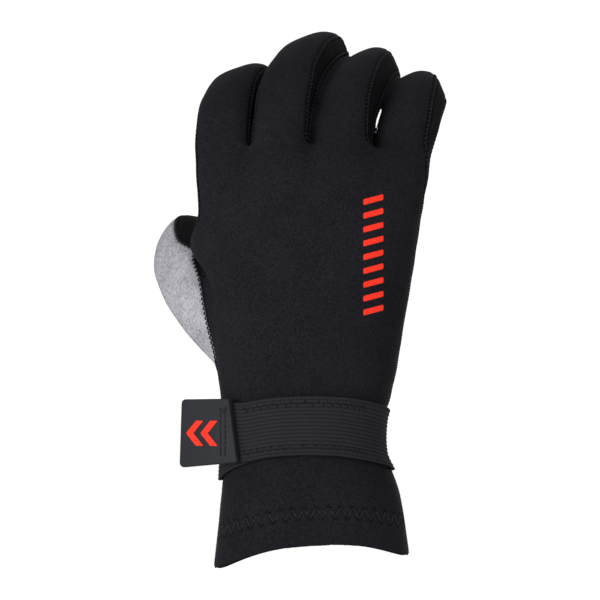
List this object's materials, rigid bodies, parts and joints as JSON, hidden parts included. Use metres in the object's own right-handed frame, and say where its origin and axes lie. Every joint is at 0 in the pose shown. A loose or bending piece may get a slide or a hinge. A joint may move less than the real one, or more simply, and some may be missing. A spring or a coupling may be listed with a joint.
{
  "type": "neoprene glove",
  "caption": "Right-hand neoprene paddling glove with curled fingers, grey palm and thumb, a flared cuff and an elastic wrist strap with a rubber pull tab.",
  "frame": {"origin": "middle of the cuff's open mouth, at the mean height of its saddle-shaped rim", "axes": "+Z along the forearm from the cuff to the fingers, -Y out of the back of the hand, +Y out of the palm, -X to the thumb side"},
  "size_m": [0.1161, 0.1043, 0.2149],
  "materials": {
    "neoprene_black": "matte",
    "neoprene_side": "matte",
    "palm_grey": "matte",
    "elastic": "matte",
    "tab_rubber": "matte"
  },
  "bodies": {
    "root": {"back_panel": "neoprene_black", "palm_panel": "palm_grey", "palm_cuff": "neoprene_black", "thumb_panel": "palm_grey", "thumb_gusset": "neoprene_side", "fourchette_index_middle": "neoprene_side", "fourchette_middle_ring": "neoprene_side", "fourchette_ring_little": "neoprene_side", "little_side_strip": "neoprene_side", "cuff_hem": "neoprene_side", "wrist_strap": "elastic", "strap_tab": "tab_rubber"}
  },
  "joints": []
}
